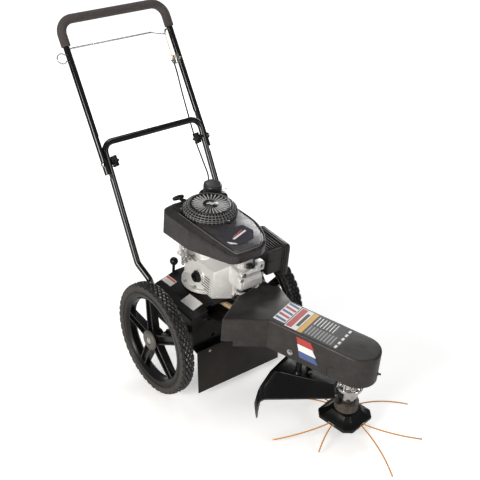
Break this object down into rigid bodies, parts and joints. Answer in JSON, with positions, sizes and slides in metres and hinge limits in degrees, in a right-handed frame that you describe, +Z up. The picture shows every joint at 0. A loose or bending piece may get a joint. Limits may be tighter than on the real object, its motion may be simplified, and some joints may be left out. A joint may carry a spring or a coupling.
{
  "type": "walk-behind string trimmer",
  "caption": "Two-wheeled walk-behind string trimmer: engine on a deck, offset belt-driven arm with a line head and guard, and a folding handle with a bail.",
  "frame": {"origin": "centre of the bottom of the bounding box without the trimmer lines, on the ground", "axes": "+Z up, -Y towards the trimmer head, +Y towards the handle, -X the operator's right"},
  "size_m": [0.5559, 1.2588, 1.0591],
  "materials": {
    "black_paint": "gloss",
    "grey_paint": "satin",
    "wheel_plastic": "gloss",
    "engine_plastic": "satin",
    "black_plastic": "satin",
    "cast_aluminium": "cast",
    "steel": "zinc plated",
    "chrome": "polished",
    "brass": "satin",
    "foam": "matt foam",
    "tyre_rubber": "ribbed",
    "belt_rubber": "fabric covered",
    "flap_rubber": "matt",
    "filter_paper": "pleated",
    "rope": "braided",
    "nylon_line": "satin"
  },
  "bodies": {
    "chassis": {"deck_shell": "black_paint", "debris_flap": "flap_rubber", "belt_cover": "grey_paint", "arm_beam": "black_paint", "spindle_housing": "chrome", "guard": "black_plastic", "drive_belt": "belt_rubber", "height_detent_plate": "steel", "lower_handle": "black_paint", "control_cable": "black_plastic", "oil_pan": "cast_aluminium", "crankcase": "cast_aluminium", "valve_cover": "cast_aluminium", "spark_plug": "steel", "spark_plug_boot": "black_plastic", "muffler": "steel", "engine_cover": "engine_plastic", "recoil_housing": "black_plastic", "fuel_tank": "black_plastic", "carburettor": "cast_aluminium", "air_cleaner_base": "engine_plastic", "air_filter": "filter_paper", "starter_rope": "rope"},
    "upper_handle": {"upper_handle": "black_paint", "foam_grip": "foam", "cable_bracket": "grey_paint", "cable_wire": "brass", "rope_guide": "steel", "handle_bolt_right": "steel", "handle_bolt_left": "steel"},
    "knob_right": {"handle_knob_right": "black_plastic"},
    "knob_left": {"handle_knob_left": "black_plastic"},
    "bail": {"bail": "steel"},
    "axle": {"crank_axle": "black_paint", "lever_knob": "black_plastic"},
    "wheel_right": {"wheel_rim_right": "wheel_plastic", "tyre_right": "tyre_rubber", "hub_cap_right": "grey_paint"},
    "wheel_left": {"wheel_rim_left": "wheel_plastic", "tyre_left": "tyre_rubber", "hub_cap_left": "grey_paint"},
    "head": {"spindle_shaft": "steel", "driven_pulley": "steel", "head_spacer": "grey_paint", "trimmer_head": "black_plastic", "skid_cup": "black_plastic", "trimmer_line_1": "nylon_line", "trimmer_line_2": "nylon_line", "trimmer_line_3": "nylon_line", "trimmer_line_4": "nylon_line"},
    "crank": {"crankshaft": "steel", "flywheel": "cast_aluminium", "drive_pulley": "steel"},
    "starter_grip": {"starter_grip": "black_plastic"},
    "starter_reel": {"starter_reel": "steel"},
    "fuel_cap": {"fuel_cap": "black_plastic"},
    "oil_filler_cap": {"oil_filler_cap": "black_plastic"},
    "air_cleaner_cover": {"air_cleaner_cover": "engine_plastic"},
    "governor_lever": {"governor_lever": "steel"},
    "brake_lever": {"brake_lever": "steel"}
  },
  "joints": [
    {"name": "height_adjust", "type": "hinge", "parent": "chassis", "child": "axle", "pos_m": [0, 0.00925, 0.19861], "axis": [-1, 0, 0], "range_deg": [0, 30]},
    {"name": "wheel_right_spin", "type": "hinge", "parent": "axle", "child": "wheel_right", "pos_m": [-0.21, 0.05204, 0.178], "axis": [1, 0, 0], "continuous": true},
    {"name": "wheel_left_spin", "type": "hinge", "parent": "axle", "child": "wheel_left", "pos_m": [0.21, 0.05204, 0.178], "axis": [1, 0, 0], "continuous": true},
    {"name": "crank_spin", "type": "hinge", "parent": "chassis", "child": "crank", "pos_m": [-0.024, 0.04463, 0.31674], "axis": [0, -0.1305, 0.9914], "continuous": true},
    {"name": "head_spin", "type": "hinge", "parent": "chassis", "child": "head", "pos_m": [0.104, -0.48755, 0.29862], "axis": [0, -0.1305, 0.9914], "continuous": true},
    {"name": "handle_fold", "type": "hinge", "parent": "chassis", "child": "upper_handle", "pos_m": [0, 0.32084, 0.655], "axis": [1, 0, 0], "range_deg": [0, 105], "deforming": ["control_cable"]},
    {"name": "knob_right_turn", "type": "hinge", "parent": "upper_handle", "child": "knob_right", "pos_m": [-0.1674, 0.32084, 0.655], "axis": [1, 0, 0], "range_deg": [0, 360]},
    {"name": "knob_left_turn", "type": "hinge", "parent": "upper_handle", "child": "knob_left", "pos_m": [0.1674, 0.32084, 0.655], "axis": [-1, 0, 0], "range_deg": [0, 360]},
    {"name": "bail_pull", "type": "hinge", "parent": "upper_handle", "child": "bail", "pos_m": [0, 0.50089, 0.96793], "axis": [-1, 0, 0], "range_deg": [0, 100], "stiffness_Nm_per_rad": 0.2, "springref_deg": -17.19, "deforming": ["cable_wire"]},
    {"name": "brake_lever_turn", "type": "hinge", "parent": "chassis", "child": "brake_lever", "pos_m": [-0.014, 0.12671, 0.39815], "axis": [0, 0.1305, -0.9914], "range_deg": [0, 12]},
    {"name": "starter_pull", "type": "slide", "parent": "chassis", "child": "starter_grip", "axis": [0, 1, 0.009], "range_m": [0, 0.6], "stiffness_N_per_m": 12, "springref_m": -0.2, "deforming": ["starter_rope"]},
    {"name": "starter_reel_turn", "type": "hinge", "parent": "chassis", "child": "starter_reel", "pos_m": [-0.024, 0.04463, 0.31674], "axis": [0, 0.1305, -0.9914], "range_deg": [0, 860]},
    {"name": "fuel_cap_turn", "type": "hinge", "parent": "chassis", "child": "fuel_cap", "pos_m": [0.052, 0.13585, 0.32875], "axis": [0, -0.1305, 0.9914], "range_deg": [0, 270]},
    {"name": "oil_cap_turn", "type": "hinge", "parent": "chassis", "child": "oil_filler_cap", "pos_m": [-0.076, 0.01682, 0.35948], "axis": [-1, 0, 0], "range_deg": [0, 270]},
    {"name": "air_cleaner_cover_lift", "type": "slide", "parent": "chassis", "child": "air_cleaner_cover", "axis": [0, -0.1305, 0.9914], "range_m": [0, 0.06]},
    {"name": "governor_lever_turn", "type": "hinge", "parent": "chassis", "child": "governor_lever", "pos_m": [-0.082, 0.0415, 0.41719], "axis": [0, -0.1305, 0.9914], "range_deg": [0, 15]}
  ],
  "couplings": [
    {"joint": "head_spin", "follows": "crank_spin", "ratio": 1},
    {"joint": "brake_lever_turn", "follows": "bail_pull", "ratio": 0.12},
    {"joint": "starter_reel_turn", "follows": "starter_pull", "rad_per_m": 24.8}
  ]
}
